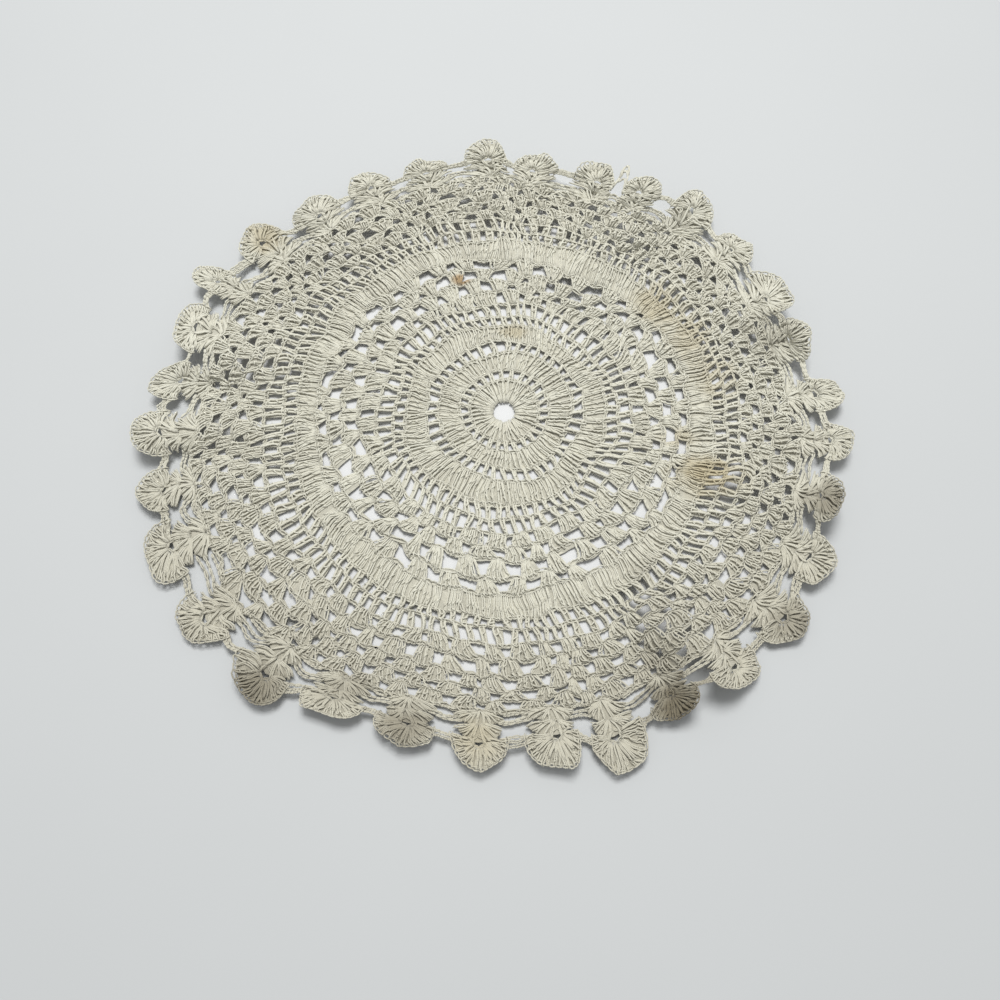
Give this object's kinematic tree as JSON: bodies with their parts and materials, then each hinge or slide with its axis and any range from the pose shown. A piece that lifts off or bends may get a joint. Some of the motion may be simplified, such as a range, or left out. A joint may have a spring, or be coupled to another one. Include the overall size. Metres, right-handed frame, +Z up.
{
  "type": "lace doily",
  "caption": "Round crocheted cotton lace doily with a scalloped border of small fans, lying with soft folds.",
  "frame": {"origin": "on the surface it lies on, under the middle of its bounding box; the hub hole is 4.5 mm towards +X and 4.3 mm towards +Y of it", "axes": "+Z up, away from the surface; -Y towards the viewer, where the border lies flattest; +X to the viewer's right"},
  "size_m": [0.2724, 0.2653, 0.0168],
  "materials": {
    "cotton": "matt, aged ecru crochet cotton with a few faint tan stains"
  },
  "bodies": {
    "root": {"doily": "cotton"}
  },
  "joints": []
}
